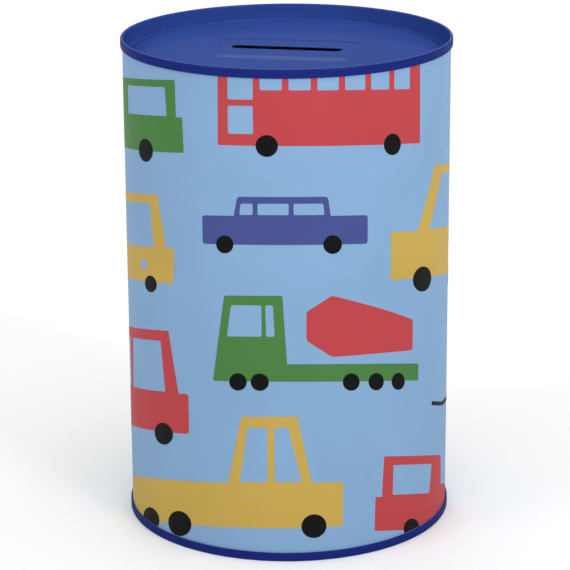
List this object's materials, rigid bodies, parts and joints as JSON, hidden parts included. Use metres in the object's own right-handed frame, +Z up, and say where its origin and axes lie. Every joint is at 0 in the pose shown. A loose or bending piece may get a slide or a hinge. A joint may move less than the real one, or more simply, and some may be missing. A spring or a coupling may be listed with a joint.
{
  "type": "tin money box",
  "caption": "Round tinplate money box with seamed ends, a coin slot in a raised pad on its recessed lid, and a push-in plug in its base.",
  "frame": {"origin": "centre of the ring under the base seam that the tin stands on", "axes": "+Z up the tin's axis to the lid, +X along the coin slot, side seam of the body at +Y"},
  "size_m": [0.1, 0.1, 0.15],
  "materials": {
    "printed_tinplate": "satin gloss",
    "blue_tinplate": "gloss",
    "sealing_rubber": "matt",
    "plug_plastic": "satin"
  },
  "bodies": {
    "tin": {"tin_body": "printed_tinplate", "slotted_lid": "blue_tinplate", "base": "blue_tinplate", "lid_seam_seal": "sealing_rubber", "base_seam_seal": "sealing_rubber"},
    "plug": {"base_plug": "plug_plastic"}
  },
  "joints": [
    {"name": "plug_pull", "type": "slide", "parent": "tin", "child": "plug", "axis": [0, 0, -1], "range_m": [0, 0.025]}
  ]
}
